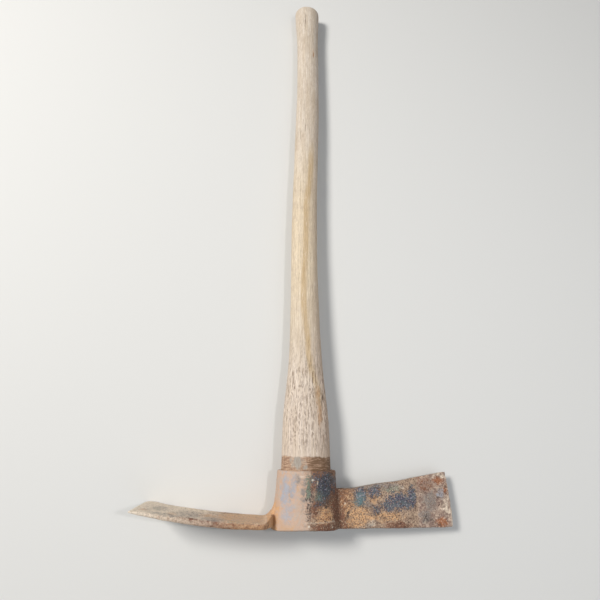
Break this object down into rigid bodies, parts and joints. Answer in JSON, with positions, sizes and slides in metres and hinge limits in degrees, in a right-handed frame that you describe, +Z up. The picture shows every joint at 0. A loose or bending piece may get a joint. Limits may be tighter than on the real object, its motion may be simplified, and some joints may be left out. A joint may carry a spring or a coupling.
{
  "type": "cutter mattock",
  "caption": "Cutter mattock: forged taper-eye head with an axe blade and a cross-set adze blade, slipped over a long curved hardwood handle with a knobbed grip end.",
  "frame": {"origin": "centre of the tool's bounding box, on the ground that it lies on", "axes": "+X towards the axe blade, +Y along the handle towards the grip, +Z up from the ground; the tool lies flat, tipped a few degrees onto the adze's lower corner, the socket and the knob"},
  "size_m": [0.4224, 0.903, 0.0878],
  "materials": {
    "head_steel": "rusted forged steel with worn remnants of dark blue paint",
    "handle_wood": "weathered bare hardwood with open grain, rust stained beside the head"
  },
  "bodies": {
    "head": {"mattock_head": "head_steel"},
    "handle": {"handle": "handle_wood"}
  },
  "joints": [
    {"name": "handle_slide", "type": "slide", "parent": "head", "child": "handle", "axis": [0, -0.9999, 0.0135], "range_m": [0, 0.93]}
  ]
}
